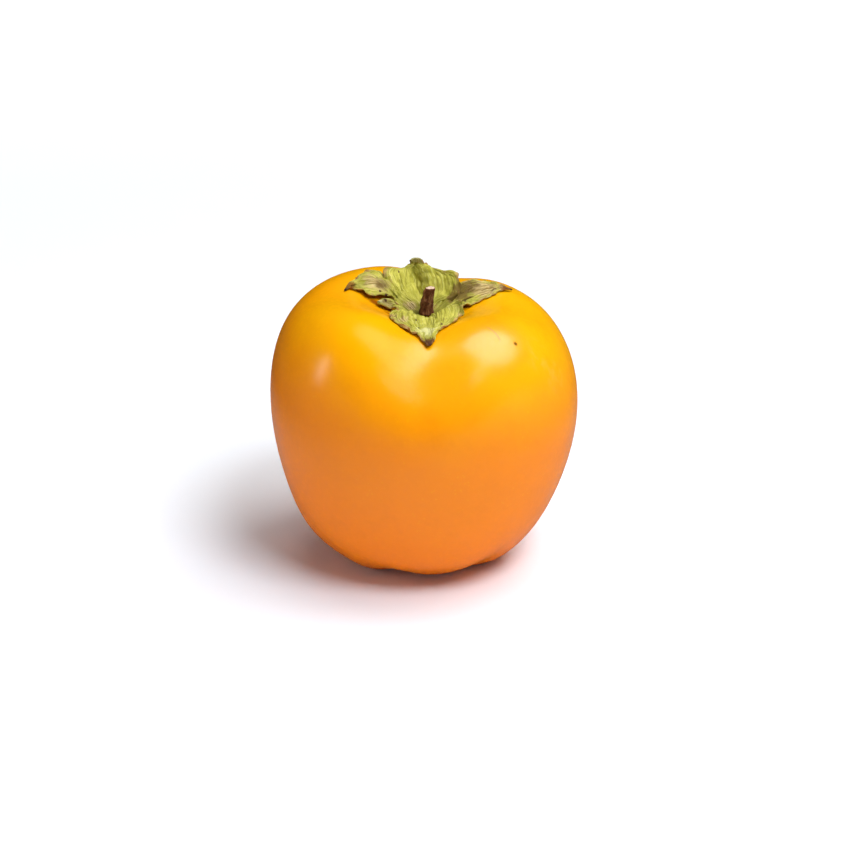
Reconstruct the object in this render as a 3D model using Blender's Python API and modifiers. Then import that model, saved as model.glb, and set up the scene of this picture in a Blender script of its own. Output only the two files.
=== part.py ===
"""A persimmon as picked: the fruit standing on its blossom end, with its dried calyx and stalk on top.

Blender 4.5, metres, +Z up. The origin is on the resting surface, under the middle of the fruit, and the
front of the fruit is towards -Y. The tables are in millimetres, and MM turns them into metres. An azimuth
is in degrees, anticlockwise from +X as seen from above, so the front is at 270.
"""
import math

import bmesh
import bpy
from mathutils import Vector
from mathutils.bvhtree import BVHTree

MM = 0.001
GAP = 0.3  # between pieces that touch

# --- The fruit -------------------------------------------------------------------------------------------
COLUMNS = 32
# The cage's rings from the calyx down to the blossom end: radius, height.
CROWN_POLE = 64.6
RINGS = (
    (5.0, 65.0),
    (10.0, 67.3),
    (15.5, 69.9),
    (21.5, 71.0),
    (28.5, 69.3),
    (34.8, 63.6),
    (38.7, 54.6),
    (40.0, 44.0),
    (38.9, 33.2),
    (36.1, 23.2),
    (32.1, 14.2),
    (26.6, 7.1),
    (19.0, 2.4),
    (11.5, -1.1),
    (5.0, 0.6),
)
BLOSSOM_POLE = 2.0
CORE = (0, 0, 38)
# The crown leans: how far its height falls for each millimetre towards +X.
LEAN = 0.045
# Where the cage is pulled in or pushed out from the core: azimuth, first and last ring of the line that
# moves, how far out it goes, and how far the pull reaches around it.
PULLS = (
    (270, 3, 5, -4.8, 16),  # valleys between the shoulders
    (0, 3, 4, -1.2, 15),
    (78.75, 3, 4, -2.8, 16),
    (180, 3, 4, -0.8, 13),
    (135, 3, 4, 0.3, 20),  # shoulders
    (225, 3, 4, 1.0, 18),
    (315, 3, 4, 0.8, 18),
    (45, 3, 4, -0.5, 16),
    (78.75, 4, 5, -0.5, 16),
    (180, 7, 8, -0.8, 24),  # flanks
    (0, 9, 10, -0.6, 20),
    (180, 11, 12, 1.8, 18),
    (337.5, 12, 12, 2.0, 11),
    (225, 12, 12, 1.2, 10),
    (247.5, 12, 13, -1.5, 7),  # creases of the blossom end
    (315, 11, 12, -1.5, 6.5),
    (22.5, 11, 12, -1.8, 8),
    (112.5, 11, 12, -1.8, 8),
    (180, 12, 13, -1.5, 7),
)
# The block below the resting surface that cuts the feet flat.
FOOT_BLOCK = (100, 100, 10)

# --- The calyx and the stalk -----------------------------------------------------------------------------
CALYX_CENTRE = (1.0, 0.0)
SEPAL_THICKNESS = 0.6
# The four lobes of the calyx, in rows from the disc to the tip. A row has five points from the lobe's
# clockwise edge to its anticlockwise edge: x, y, height.
SEPALS = {
    "sepal_front": (
        ((-4.6, -2.8, 67.8), (-2.6, -5.1, 67.7), (0.4, -6.2, 67.6), (3.4, -5.7, 68.3), (5.6, -4.2, 69.4)),
        ((-6.8, -7.0, 69.5), (-3.2, -8.3, 68.4), (1.0, -9.0, 68.0), (5.2, -8.5, 69.2), (9.3, -5.2, 71.3)),
        ((-9.1, -12.4, 70.4), (-4.4, -11.8, 69.3), (1.0, -11.5, 68.1), (5.6, -11.3, 69.2), (10.5, -8.2, 71.0)),
        ((-6.4, -15.6, 69.9), (-3.2, -14.8, 69.2), (1.1, -14.2, 67.9), (4.8, -13.6, 68.9), (9.5, -11.0, 69.5)),
        ((-4.0, -17.4, 69.0), (-1.6, -16.9, 68.5), (1.2, -16.5, 67.8), (3.7, -15.9, 68.4), (6.4, -15.1, 69.2)),
        ((-1.7, -19.0, 68.4), (-0.2, -18.9, 68.1), (1.4, -18.8, 67.9), (2.8, -18.4, 68.2), (4.1, -17.6, 68.6)),
        ((-0.2, -21.3, 67.8), (0.6, -21.4, 67.9), (1.4, -21.4, 67.8), (2.2, -21.4, 67.9), (3.0, -21.3, 67.9)),
        ((1.1, -23.9, 67.1), (1.3, -24.0, 67.1), (1.5, -24.0, 67.1), (1.6, -24.0, 67.1), (1.8, -23.9, 67.1)),
    ),
    "sepal_right": (
        ((6.9, -1.6, 68.6), (7.6, 0.2, 68.2), (8.0, 2.0, 68.2), (8.6, 3.4, 68.3), (9.2, 4.4, 68.5)),
        ((9.2, -0.4, 68.5), (9.8, 2.4, 68.7), (10.0, 5.2, 68.9), (10.2, 8.2, 69.3), (10.4, 11.4, 70.0)),
        ((11.9, 0.6, 68.0), (12.0, 4.0, 69.2), (12.0, 7.4, 69.8), (11.8, 10.8, 70.1), (11.6, 13.6, 69.9)),
        ((14.3, 2.2, 68.9), (14.5, 5.4, 69.7), (14.7, 8.6, 70.1), (14.6, 11.4, 70.1), (14.4, 13.6, 69.8)),
        ((16.9, 4.3, 69.4), (17.0, 6.4, 69.9), (17.1, 8.6, 70.1), (17.0, 10.8, 69.9), (17.0, 12.9, 69.6)),
        ((18.8, 6.2, 69.8), (18.9, 7.6, 69.9), (18.9, 9.0, 69.9), (18.9, 10.4, 69.7), (18.8, 11.8, 69.4)),
        ((20.2, 8.0, 69.5), (20.2, 8.3, 69.6), (20.2, 8.6, 69.6), (20.2, 9.0, 69.6), (20.2, 9.3, 69.5)),
        ((22.7, 9.2, 69.0), (22.7, 9.3, 69.0), (22.7, 9.4, 69.0), (22.7, 9.5, 69.0), (22.7, 9.6, 69.0)),
    ),
    "sepal_back": (
        ((4.2, 5.4, 67.9), (2.2, 6.0, 67.9), (0.2, 6.1, 67.9), (-1.7, 5.6, 67.8), (-3.2, 4.6, 67.7)),
        ((7.4, 5.4, 68.0), (4.6, 6.8, 68.3), (0.8, 7.5, 68.3), (-3.0, 6.7, 68.2), (-5.2, 5.6, 68.0)),
        ((8.0, 8.3, 69.2), (4.8, 9.0, 69.6), (0.4, 9.4, 69.4), (-3.6, 8.9, 69.6), (-6.4, 8.2, 69.5)),
        ((8.2, 11.2, 70.8), (4.8, 11.3, 71.3), (0.0, 11.4, 71.0), (-4.4, 11.0, 71.3), (-8.0, 10.7, 71.3)),
        ((8.0, 12.7, 71.9), (4.6, 12.9, 72.2), (-0.6, 13.0, 72.6), (-5.0, 12.8, 72.6), (-8.6, 12.6, 72.8)),
        ((5.0, 13.3, 72.4), (2.2, 13.6, 73.0), (-1.2, 13.8, 73.5), (-4.2, 13.8, 73.4), (-7.1, 13.8, 73.4)),
        ((1.9, 14.2, 73.3), (0.3, 14.4, 73.7), (-1.4, 14.5, 74.0), (-2.8, 14.4, 73.8), (-3.9, 14.3, 73.4)),
        ((-0.3, 14.8, 74.4), (-0.9, 14.8, 74.7), (-1.5, 14.8, 74.8), (-2.2, 14.8, 74.7), (-2.9, 14.7, 74.5)),
        ((-1.0, 13.6, 76.0), (-1.4, 13.4, 76.2), (-1.9, 13.2, 76.2), (-2.5, 13.1, 76.0), (-3.1, 13.0, 75.7)),
    ),
    "sepal_left": (
        ((-4.9, 3.2, 68.0), (-5.1, 2.6, 67.9), (-5.2, 2.0, 67.8), (-5.2, 1.3, 67.8), (-5.2, 0.6, 67.7)),
        ((-7.2, 5.2, 68.9), (-7.5, 4.8, 69.0), (-7.6, 4.3, 69.0), (-7.6, 3.8, 69.0), (-7.5, 3.2, 69.0)),
        ((-9.8, 9.4, 70.9), (-9.8, 7.9, 70.9), (-9.8, 6.3, 70.8), (-9.7, 4.8, 70.6), (-9.6, 3.2, 70.1)),
        ((-12.1, 14.2, 72.2), (-12.2, 11.2, 72.4), (-12.2, 8.0, 72.2), (-12.2, 4.8, 71.6), (-12.0, 1.2, 70.7)),
        ((-14.3, 13.4, 72.4), (-14.5, 10.4, 72.6), (-14.6, 7.2, 72.5), (-14.5, 4.0, 71.9), (-14.2, 0.8, 70.9)),
        ((-15.9, 10.8, 72.4), (-16.2, 8.8, 72.5), (-16.3, 6.6, 72.5), (-16.1, 4.6, 72.1), (-15.8, 2.6, 71.4)),
        ((-17.4, 7.2, 72.2), (-17.5, 6.4, 72.3), (-17.5, 5.7, 72.3), (-17.4, 5.0, 72.1), (-17.3, 4.2, 71.9)),
        ((-19.8, 2.7, 71.4), (-19.8, 2.6, 71.4), (-19.7, 2.5, 71.4), (-19.7, 2.4, 71.3), (-19.6, 2.3, 71.3)),
    ),
}
# Half of the disc's section, from its middle round its rim and back: radius, height.
DISC_PROFILE = ((0.0, 66.3), (2.6, 66.1), (4.4, 66.6), (4.9, 66.3), (4.4, 65.8), (2.6, 65.3), (0.0, 65.1))
DISC_STEPS = 32
# The stalk's middle line, and its radius there: x, y, height, radius.
STALK = (
    (1.1, 0.0, 66.7, 1.85),
    (1.3, 0.0, 68.4, 1.65),
    (1.5, -0.1, 70.2, 1.6),
    (1.8, -0.2, 71.8, 1.4),
    (2.0, -0.3, 73.2, 1.35),
)
# The dry remnant of the flower's style, a cone in the dimple of the blossom end.
STYLE_RADIUS = 1.0
STYLE_POINT_RADIUS = 0.2
STYLE_LENGTH = 1.0
STYLE_SIDES = 12


def reset_scene():
    for obj in list(bpy.data.objects):
        bpy.data.objects.remove(obj)


def smooth_falloff(distance, reach):
    """1 at no distance, easing down to 0 at the reach."""
    near = max(0.0, 1 - distance / reach)
    return near * near * (3 - 2 * near)


def pull(cage, azimuth, first, last, out, reach):
    """Moves one meridian's stretch of the cage out from the core, and what is near it by less."""
    column = round(azimuth / 360 * COLUMNS) % COLUMNS
    line = [cage[ring, column].co.copy() for ring in range(first, last + 1)]
    middle = sum(line, Vector()) / len(line)
    push = (middle - Vector(CORE)).normalized() * out
    for vert in cage.values():
        distance = min((vert.co - point).length for point in line)
        vert.co += push * smooth_falloff(distance, reach)


def make_fruit(collection, material, foot_cutter):
    bm = bmesh.new()
    bmesh.ops.create_uvsphere(bm, u_segments=COLUMNS, v_segments=len(RINGS) + 1, radius=1)
    cage = {}
    for vert in bm.verts:
        turn = math.acos(max(-1.0, min(1.0, vert.co.z))) / math.pi
        ring = round(turn * (len(RINGS) + 1)) - 1
        column = round(math.atan2(vert.co.y, vert.co.x) / math.tau * COLUMNS) % COLUMNS
        if ring in (-1, len(RINGS)):
            vert.co = (0, 0, CROWN_POLE if ring == -1 else BLOSSOM_POLE)
            column = 0
        else:
            radius, height = RINGS[ring]
            angle = column / COLUMNS * math.tau
            vert.co = (radius * math.cos(angle), radius * math.sin(angle), height)
        cage[ring, column] = vert
    for settings in PULLS:
        pull(cage, *settings)
    for vert in bm.verts:
        vert.co.z -= LEAN * vert.co.x * vert.co.z / CROWN_POLE
    bmesh.ops.scale(bm, vec=(MM, MM, MM), verts=bm.verts)
    obj = new_object("fruit", bm, collection, material)
    skin = obj.modifiers.new("skin", "SUBSURF")
    skin.levels = skin.render_levels = 1
    foot = obj.modifiers.new("flat_foot", "BOOLEAN")
    foot.operation = "DIFFERENCE"
    foot.object = foot_cutter
    return obj


def make_foot_cutter(collection):
    bm = bmesh.new()
    bmesh.ops.create_cube(bm, size=MM)
    bmesh.ops.scale(bm, vec=FOOT_BLOCK, verts=bm.verts)
    bmesh.ops.translate(bm, vec=(0, 0, -FOOT_BLOCK[2] / 2 * MM), verts=bm.verts)
    obj = new_object("foot_cutter", bm, collection)
    obj.hide_render = True
    obj.display_type = "WIRE"
    return obj


def surface_of(obj):
    """The object's evaluated surface, for measuring how high it is."""
    graph = bpy.context.evaluated_depsgraph_get()
    mesh = obj.evaluated_get(graph).to_mesh()
    points = [vert.co.copy() for vert in mesh.vertices]
    faces = [tuple(face.vertices) for face in mesh.polygons]
    obj.evaluated_get(graph).to_mesh_clear()
    return BVHTree.FromPolygons(points, faces)


def height_under(surface, x, y):
    """How high the surface is, in millimetres, under a point given in millimetres."""
    hit = surface.ray_cast(Vector((x * MM, y * MM, 1)), Vector((0, 0, -1)))[0]
    return hit.z / MM


def height_over(surface, x, y):
    """How high the surface's underside is, in millimetres, over a point given in millimetres."""
    hit = surface.ray_cast(Vector((x * MM, y * MM, -1)), Vector((0, 0, 1)))[0]
    return hit.z / MM


def make_sepal(name, collection, material, fruit_surface):
    rows = SEPALS[name]
    columns = len(rows[0]) - 1
    bm = bmesh.new()
    bmesh.ops.create_grid(bm, x_segments=columns, y_segments=len(rows) - 1, size=0.5)
    clear = GAP + SEPAL_THICKNESS
    for vert in bm.verts:
        row = rows[round((vert.co.y + 0.5) * (len(rows) - 1))]
        x, y, height = row[round((vert.co.x + 0.5) * columns)]
        height = max(height, height_under(fruit_surface, x, y) + clear)
        vert.co = Vector((x, y, height)) * MM
    bmesh.ops.recalc_face_normals(bm, faces=bm.faces)
    if sum(face.normal.z for face in bm.faces) < 0:
        bmesh.ops.reverse_faces(bm, faces=bm.faces)
    obj = new_object(name, bm, collection, material)
    blade = obj.modifiers.new("blade", "SUBSURF")
    blade.levels = blade.render_levels = 2
    wall = obj.modifiers.new("wall", "SOLIDIFY")
    wall.thickness = SEPAL_THICKNESS * MM
    wall.offset = 0
    return obj


def make_disc(collection, material):
    """The hard disc in the middle of the calyx, turned about the calyx's own centre."""
    bm = bmesh.new()
    verts = [bm.verts.new((radius * MM, 0, height * MM)) for radius, height in DISC_PROFILE]
    for first, second in zip(verts, verts[1:]):
        bm.edges.new((first, second))
    obj = new_object("calyx_disc", bm, collection, material)
    obj.location = (CALYX_CENTRE[0] * MM, CALYX_CENTRE[1] * MM, 0)
    turned = obj.modifiers.new("turned", "SCREW")
    turned.steps = turned.render_steps = DISC_STEPS
    turned.use_merge_vertices = True
    turned.merge_threshold = 0.00001
    return obj


def make_stalk(collection, material):
    curve = bpy.data.curves.new("stem", "CURVE")
    curve.dimensions = "3D"
    curve.bevel_depth = MM
    curve.bevel_resolution = 4
    curve.use_fill_caps = True
    spline = curve.splines.new("POLY")
    spline.points.add(len(STALK) - 1)
    for point, (x, y, height, radius) in zip(spline.points, STALK):
        point.co = (x * MM, y * MM, height * MM, 1)
        point.radius = radius
    curve.materials.append(material)
    obj = bpy.data.objects.new("stem", curve)
    collection.objects.link(obj)
    return obj


def make_style_tip(collection, material, fruit_surface):
    bm = bmesh.new()
    bmesh.ops.create_cone(
        bm,
        cap_ends=True,
        segments=STYLE_SIDES,
        radius1=STYLE_POINT_RADIUS * MM,
        radius2=STYLE_RADIUS * MM,
        depth=STYLE_LENGTH * MM,
    )
    top = height_over(fruit_surface, 0, 0) - GAP
    bmesh.ops.translate(bm, vec=(0, 0, (top - STYLE_LENGTH / 2) * MM), verts=bm.verts)
    return new_object("style_tip", bm, collection, material)


def new_object(name, bm, collection, material=None):
    mesh = bpy.data.meshes.new(name)
    bm.to_mesh(mesh)
    bm.free()
    mesh.shade_smooth()
    if material:
        mesh.materials.append(material)
    obj = bpy.data.objects.new(name, mesh)
    collection.objects.link(obj)
    return obj


def new_collection(name):
    collection = bpy.data.collections.new(name)
    bpy.context.scene.collection.children.link(collection)
    return collection


def new_material(name, colour, roughness):
    material = bpy.data.materials.new(name)
    material.use_nodes = True
    shader = material.node_tree.nodes["Principled BSDF"]
    shader.inputs["Base Color"].default_value = (*colour, 1)
    shader.inputs["Roughness"].default_value = roughness
    shader.inputs["Metallic"].default_value = 0
    return material


def main():
    reset_scene()
    persimmon = new_collection("persimmon")
    cutters = new_collection("cutters")
    skin = new_material("skin", (0.9, 0.36, 0.02), 0.35)
    dry_leaf = new_material("dry_leaf", (0.33, 0.34, 0.09), 0.7)
    bark = new_material("bark", (0.09, 0.035, 0.02), 0.85)
    dry_style = new_material("dry_style", (0.03, 0.02, 0.015), 0.8)
    fruit = make_fruit(persimmon, skin, make_foot_cutter(cutters))
    fruit_surface = surface_of(fruit)
    for name in SEPALS:
        make_sepal(name, persimmon, dry_leaf, fruit_surface)
    make_disc(persimmon, dry_leaf)
    make_stalk(persimmon, bark)
    make_style_tip(persimmon, dry_style, fruit_surface)


main()
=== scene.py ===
"""The finish of a persimmon: waxy orange skin, a dry four-lobed calyx with a torn ear, and its stalk.

Blender 4.5, metres, +Z up, the front of the fruit towards -Y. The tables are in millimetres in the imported
model's own frame, and MM turns them into metres. An azimuth is in degrees, anticlockwise from +X.
"""

import math

import bmesh
import bpy
from bpy.props import FloatProperty, FloatVectorProperty, IntProperty, PointerProperty
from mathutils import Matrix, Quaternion, Vector
from mathutils.kdtree import KDTree


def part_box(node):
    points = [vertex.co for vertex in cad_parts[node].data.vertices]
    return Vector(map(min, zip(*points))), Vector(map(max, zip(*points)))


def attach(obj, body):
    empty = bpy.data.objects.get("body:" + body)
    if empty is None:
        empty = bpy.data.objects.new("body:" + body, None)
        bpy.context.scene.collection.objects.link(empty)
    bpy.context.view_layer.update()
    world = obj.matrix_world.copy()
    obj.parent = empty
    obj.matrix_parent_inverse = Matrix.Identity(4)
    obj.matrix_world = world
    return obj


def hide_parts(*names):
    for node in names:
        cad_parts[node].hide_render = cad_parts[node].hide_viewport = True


bl_info = {
    "name": "Persimmon",
    "version": (1, 0, 0),
    "blender": (4, 5, 0),
    "location": "3D Viewport > Sidebar > Persimmon",
    "description": "Builds a ripe persimmon with its calyx and stalk on a pale floor",
    "category": "Add Mesh",
}

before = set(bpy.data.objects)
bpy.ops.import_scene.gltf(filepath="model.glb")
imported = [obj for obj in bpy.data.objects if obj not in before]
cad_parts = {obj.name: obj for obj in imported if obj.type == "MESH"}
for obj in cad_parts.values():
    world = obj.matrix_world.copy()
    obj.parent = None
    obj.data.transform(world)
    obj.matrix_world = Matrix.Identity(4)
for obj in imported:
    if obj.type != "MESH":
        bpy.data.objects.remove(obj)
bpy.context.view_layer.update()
MM = 0.001

# --- The fruit -------------------------------------------------------------------------------------------
COLUMNS = 32
# The cage's rings from the calyx down to the blossom end: radius, height.
CROWN_POLE = 64.6
RINGS = (
    (5.0, 65.0), (10.0, 67.3), (15.5, 69.9), (21.5, 71.0), (28.5, 69.3), (34.8, 63.6), (38.7, 54.6),
    (40.0, 44.0), (38.9, 33.2), (36.1, 23.2), (32.1, 14.2), (26.6, 7.1), (19.0, 2.4), (11.5, -1.1),
    (5.0, 0.6),
)
BLOSSOM_POLE = 2.0
CORE = Vector((0, 0, 38))
LEAN = 0.045  # how far the crown's height falls for each millimetre towards +X
# Where the cage is pulled in or pushed out from the core: azimuth, first and last ring of the line that
# moves, how far out it goes, and how far the pull reaches around it.
PULLS = (
    (270, 3, 5, -4.8, 16),  # valleys between the shoulders
    (0, 3, 4, -1.2, 15),
    (78.75, 3, 4, -2.8, 16),
    (180, 3, 4, -0.8, 13),
    (135, 3, 4, 0.3, 20),  # shoulders
    (225, 3, 4, 1.0, 18),
    (315, 3, 4, 0.8, 18),
    (45, 3, 4, -0.5, 16),
    (78.75, 4, 5, -0.5, 16),
    (180, 7, 8, -0.8, 24),  # flanks
    (0, 9, 10, -0.6, 20),
    (180, 11, 12, 1.8, 18),
    (337.5, 12, 12, 2.0, 11),
    (225, 12, 12, 1.2, 10),
    (247.5, 12, 13, -1.5, 7),  # creases of the blossom end
    (315, 11, 12, -1.5, 6.5),
    (22.5, 11, 12, -1.8, 8),
    (112.5, 11, 12, -1.8, 8),
    (180, 12, 13, -1.5, 7),
)
# Marks on the skin: x, y, height, the distance to which each is full, and the distance at which it ends.
SPECKS = ((22.84, -20.91, 66.37, 0.2, 0.8), (-38.4, -6.0, 45.0, 0.2, 0.75))
# Painted shadow: dark red-brown on the skin under the calyx's edge, beneath the left lobe and the ear.
CALYX_SHADOWS = ((-11.9, 1.1, 69.5, 0.8, 2.4), (-7.8, -2.4, 68.4, 0.8, 2.4))
CHAFES = ((28.0, -18.5, 62.5, 1.5, 6.0), (32.5, -17.0, 56.0, 1.5, 5.0))
# Painted shade: round the main highlight the skin turns towards the cheek's deeper orange, damping the key
# lamp there.
HIGHLIGHT_SHADE = (17.6, -21.5, 67.0, 3, 13)
DULL = (-12.0, -23.5, 68.3, 6, 15)  # where the wax is thin
SCRATCH = (17.7, -20.4, 69.0, 1.8, 3.4)
SCRATCH_CENTRE = (10.97, -26.1, 68.75)  # the scratch is a stretch of a circle round this
SCRATCH_RADIUS = 8.93

# --- The calyx -------------------------------------------------------------------------------------------
CALYX_COLUMNS = 52
CALYX_START = 205  # the azimuth of the first column, which is the sinus on the left of the front lobe
# The bowl round the stalk: the radius of each ring, and its share of the way up from the floor to the rim.
BOWL = ((1.7, 0.0), (3.2, 0.1), (4.6, 0.45), (6.0, 1.0))
BOWL_FLOOR = 65.7
# The rim's height by azimuth.
RIM = (
    (0, 68.1), (30, 67.7), (60, 67.8), (98, 67.8), (136, 67.6), (177, 67.4), (205, 67.7), (235, 67.0),
    (264, 66.8), (293, 67.0), (323, 68.0), (345, 68.8), (360, 68.1),
)
# The rows of each lobe, from the rim to the tip. A row has five points from its clockwise edge to its
# anticlockwise edge: x, y, height.
FRONT = (
    ((-7.4, -6.4, 70.3), (-3.8, -7.8, 70.4), (1.0, -8.6, 69.4), (5.2, -7.2, 71.6), (9.8, -4.2, 72.5)),
    ((-9.1, -12.4, 70.4), (-4.4, -11.8, 69.3), (1.0, -11.5, 68.1), (5.6, -11.0, 69.8), (10.5, -8.0, 71.5)),
    ((-6.4, -15.6, 69.9), (-3.2, -14.8, 69.2), (1.1, -14.2, 67.9), (4.8, -13.6, 68.9), (9.5, -11.0, 69.5)),
    ((-5.0, -16.6, 69.4), (-2.2, -16.2, 68.7), (1.2, -15.8, 67.8), (4.2, -15.2, 68.6), (7.6, -14.5, 69.4)),
    ((-2.9, -18.2, 68.7), (-1.0, -17.6, 68.2), (1.3, -17.2, 67.8), (3.3, -16.6, 68.3), (5.3, -15.8, 68.9)),
    ((-1.7, -19.0, 68.4), (-0.2, -18.9, 68.1), (1.4, -18.8, 67.9), (2.8, -18.4, 68.2), (4.1, -17.6, 68.6)),
    ((-0.4, -20.4, 68.0), (0.4, -20.5, 68.0), (1.4, -20.6, 67.9), (2.2, -20.5, 68.0), (3.1, -20.4, 68.1)),
    ((0.0, -22.2, 67.6), (0.7, -22.3, 67.7), (1.4, -22.3, 67.7), (2.1, -22.3, 67.7), (2.8, -22.3, 67.6)),
    ((1.1, -23.9, 67.1), (1.3, -24.0, 67.1), (1.5, -24.0, 67.1), (1.6, -24.0, 67.1), (1.8, -23.9, 67.1)),
)
RIGHT = (
    ((8.8, -1.0, 68.6), (9.0, 1.6, 68.2), (9.0, 4.6, 68.3), (9.2, 8.0, 68.7), (9.2, 12.6, 70.3)),
    ((11.9, 0.6, 68.0), (12.0, 4.0, 69.2), (12.0, 7.4, 69.8), (11.8, 10.8, 70.1), (11.6, 13.6, 69.9)),
    ((14.3, 2.2, 68.9), (14.5, 5.4, 69.7), (14.7, 8.6, 70.1), (14.6, 11.4, 70.1), (14.4, 13.6, 69.8)),
    ((16.9, 4.3, 69.4), (17.0, 6.4, 69.9), (17.1, 8.6, 70.1), (17.0, 10.8, 69.9), (17.0, 12.9, 69.6)),
    ((18.8, 6.2, 69.8), (18.9, 7.6, 69.9), (18.9, 9.0, 69.9), (18.9, 10.4, 69.7), (18.8, 11.8, 69.4)),
    ((20.2, 8.0, 69.5), (20.2, 8.3, 69.6), (20.2, 8.6, 69.6), (20.2, 9.0, 69.6), (20.2, 9.3, 69.5)),
    ((22.7, 9.2, 69.0), (22.7, 9.3, 69.0), (22.7, 9.4, 69.0), (22.7, 9.5, 69.0), (22.7, 9.6, 69.0)),
)
BACK = (
    ((8.7, 4.8, 67.9), (5.2, 6.6, 68.3), (0.8, 7.4, 68.3), (-3.2, 6.6, 68.1), (-6.1, 4.6, 67.9)),
    ((9.2, 6.8, 69.6), (5.2, 8.3, 69.9), (0.4, 9.4, 69.4), (-3.8, 8.8, 69.6), (-7.4, 7.8, 69.3)),
    ((9.4, 8.8, 71.7), (5.2, 10.3, 71.8), (0.0, 11.4, 71.0), (-4.6, 11.0, 71.3), (-9.2, 10.4, 71.0)),
    ((9.5, 10.4, 72.5), (4.8, 11.8, 72.9), (-0.6, 13.0, 72.6), (-5.2, 12.8, 72.8), (-10.8, 12.8, 73.6)),
    ((5.0, 12.3, 72.8), (2.2, 13.3, 73.1), (-1.2, 13.8, 73.5), (-4.2, 13.8, 73.4), (-7.1, 13.8, 73.4)),
    ((1.9, 14.2, 73.3), (0.3, 14.4, 73.7), (-1.4, 14.5, 74.0), (-2.8, 14.4, 73.8), (-3.9, 14.3, 73.4)),
    ((0.1, 14.8, 74.0), (-0.7, 14.9, 74.3), (-1.4, 15.0, 74.4), (-2.2, 15.0, 74.3), (-2.9, 14.9, 74.1)),
    ((0.0, 14.6, 74.9), (-0.9, 14.5, 75.1), (-1.7, 14.4, 75.2), (-2.6, 14.3, 75.1), (-3.3, 14.2, 74.9)),
    ((-0.4, 13.6, 75.8), (-1.2, 13.4, 76.2), (-1.9, 13.2, 76.3), (-2.7, 13.1, 76.1), (-3.4, 13.0, 75.5)),
)
LEFT = (
    ((-7.0, 7.6, 69.0), (-7.2, 6.6, 69.2), (-7.4, 5.6, 69.3), (-7.5, 4.6, 69.2), (-7.4, 3.6, 69.1)),
    ((-9.5, 13.4, 72.0), (-9.6, 10.4, 71.7), (-9.6, 7.6, 71.2), (-9.6, 5.4, 70.8), (-9.5, 3.2, 70.0)),
    ((-12.1, 14.2, 72.2), (-12.2, 11.2, 72.4), (-12.2, 8.0, 72.2), (-12.2, 4.8, 71.6), (-12.0, 1.2, 70.7)),
    ((-14.3, 13.4, 72.4), (-14.5, 10.4, 72.6), (-14.6, 7.2, 72.5), (-14.5, 4.0, 71.9), (-14.2, 0.8, 70.9)),
    ((-15.9, 10.8, 72.4), (-16.2, 8.8, 72.5), (-16.3, 6.6, 72.5), (-16.1, 4.6, 72.1), (-15.8, 2.6, 71.4)),
    ((-17.4, 7.2, 72.2), (-17.5, 6.4, 72.3), (-17.5, 5.7, 72.3), (-17.4, 5.0, 72.1), (-17.3, 4.2, 71.9)),
    ((-18.8, 4.4, 72.1), (-18.8, 4.3, 72.1), (-18.7, 4.1, 72.0), (-18.6, 4.0, 71.9), (-18.5, 3.8, 71.8)),
    ((-19.8, 2.7, 71.4), (-19.8, 2.6, 71.4), (-19.7, 2.5, 71.4), (-19.7, 2.4, 71.3), (-19.6, 2.3, 71.3)),
)
EAR = (
    ((-6.6, 1.5, 68.4), (-6.7, 0.9, 68.7), (-6.7, 0.4, 68.7), (-6.7, -0.2, 68.5), (-6.6, -0.8, 68.2)),
    ((-8.7, 2.6, 69.1), (-8.8, 1.8, 69.2), (-8.8, 0.8, 69.0), (-8.8, -0.2, 68.7), (-8.7, -1.2, 68.4)),
    ((-10.4, 1.6, 69.4), (-10.5, 0.8, 69.5), (-10.5, 0.0, 69.4), (-10.5, -0.8, 69.3), (-10.4, -1.8, 69.1)),
    ((-11.5, -0.6, 69.6), (-11.5, -0.8, 69.6), (-11.5, -1.0, 69.6), (-11.5, -1.2, 69.6), (-11.5, -1.4, 69.6)),
)
# The lobes: first column, last column, rows.
LOBES = {
    "front": (0, 17, FRONT),
    "right": (17, 31, RIGHT),
    "back": (31, 42, BACK),
    "left": (42, 48, LEFT),
    "ear": (48, 52, EAR),
}
# Creases and crests of the leaf: lobe, column, first and last row, x, y, height, reach.
FOLDS = (
    ("back", 37, 3, 10, -0.9, 2.6, -2.2, 0.0),
    ("back", 36, 4, 9, -0.3, -0.4, 0.9, 0.0),
    ("back", 40, 3, 8, 0.0, -0.5, 0.5, 1.8),
    ("back", 34, 4, 8, 0.0, 0.5, -0.5, 1.6),
    ("back", 32, 4, 7, 0.0, -0.6, 0.5, 1.7),
    ("front", 2, 4, 6, 0.2, 0.3, -0.6, 1.6),
    ("front", 5, 4, 7, 0.0, -0.3, 0.6, 1.6),
    ("front", 8, 4, 9, 0.0, 0.3, -0.5, 1.6),
    ("front", 11, 5, 8, 0.0, -0.4, 0.5, 1.6),
    ("front", 14, 4, 7, -0.2, 0.3, -0.6, 1.7),
    ("right", 22, 3, 9, 0.0, 0.3, 0.7, 1.8),
    ("right", 19, 3, 7, 0.0, 0.0, -0.7, 1.7),
    ("right", 26, 3, 8, 0.0, 0.0, -0.7, 1.8),
    ("left", 46, 4, 9, 0.0, 0.0, -0.8, 1.8),
    ("left", 44, 4, 9, 0.0, 0.0, 0.6, 1.8),
    ("ear", 50, 4, 6, 0.0, 0.4, -0.6, 0.9),
)
VEIN_UNIT = 24  # millimetres of lobe for one unit of the leaf map's height
RIM_SHARE = BOWL[-1][0] / VEIN_UNIT
PLEAT_STRETCH = (0.3, 0.9)  # the pleat map's width for a column, and its height for one of the leaf map's
PLEAT_GAP = 7  # from one lobe's pleat map to the next
TIP_KEPT = 2.4  # the margin isn't torn this near a tip
SLENDER = (0.8, 5)  # the distances from a tip between which the wrinkles grow to their full depth
EDGE_FLOOR = 66.9  # the leaf's edges below this height are the hole for the stalk
MARGIN = (0.3, 2.6)  # the distances from the edge over which the curl fades out
CLEARANCE = 0.25  # between the leaf and the fruit
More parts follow.
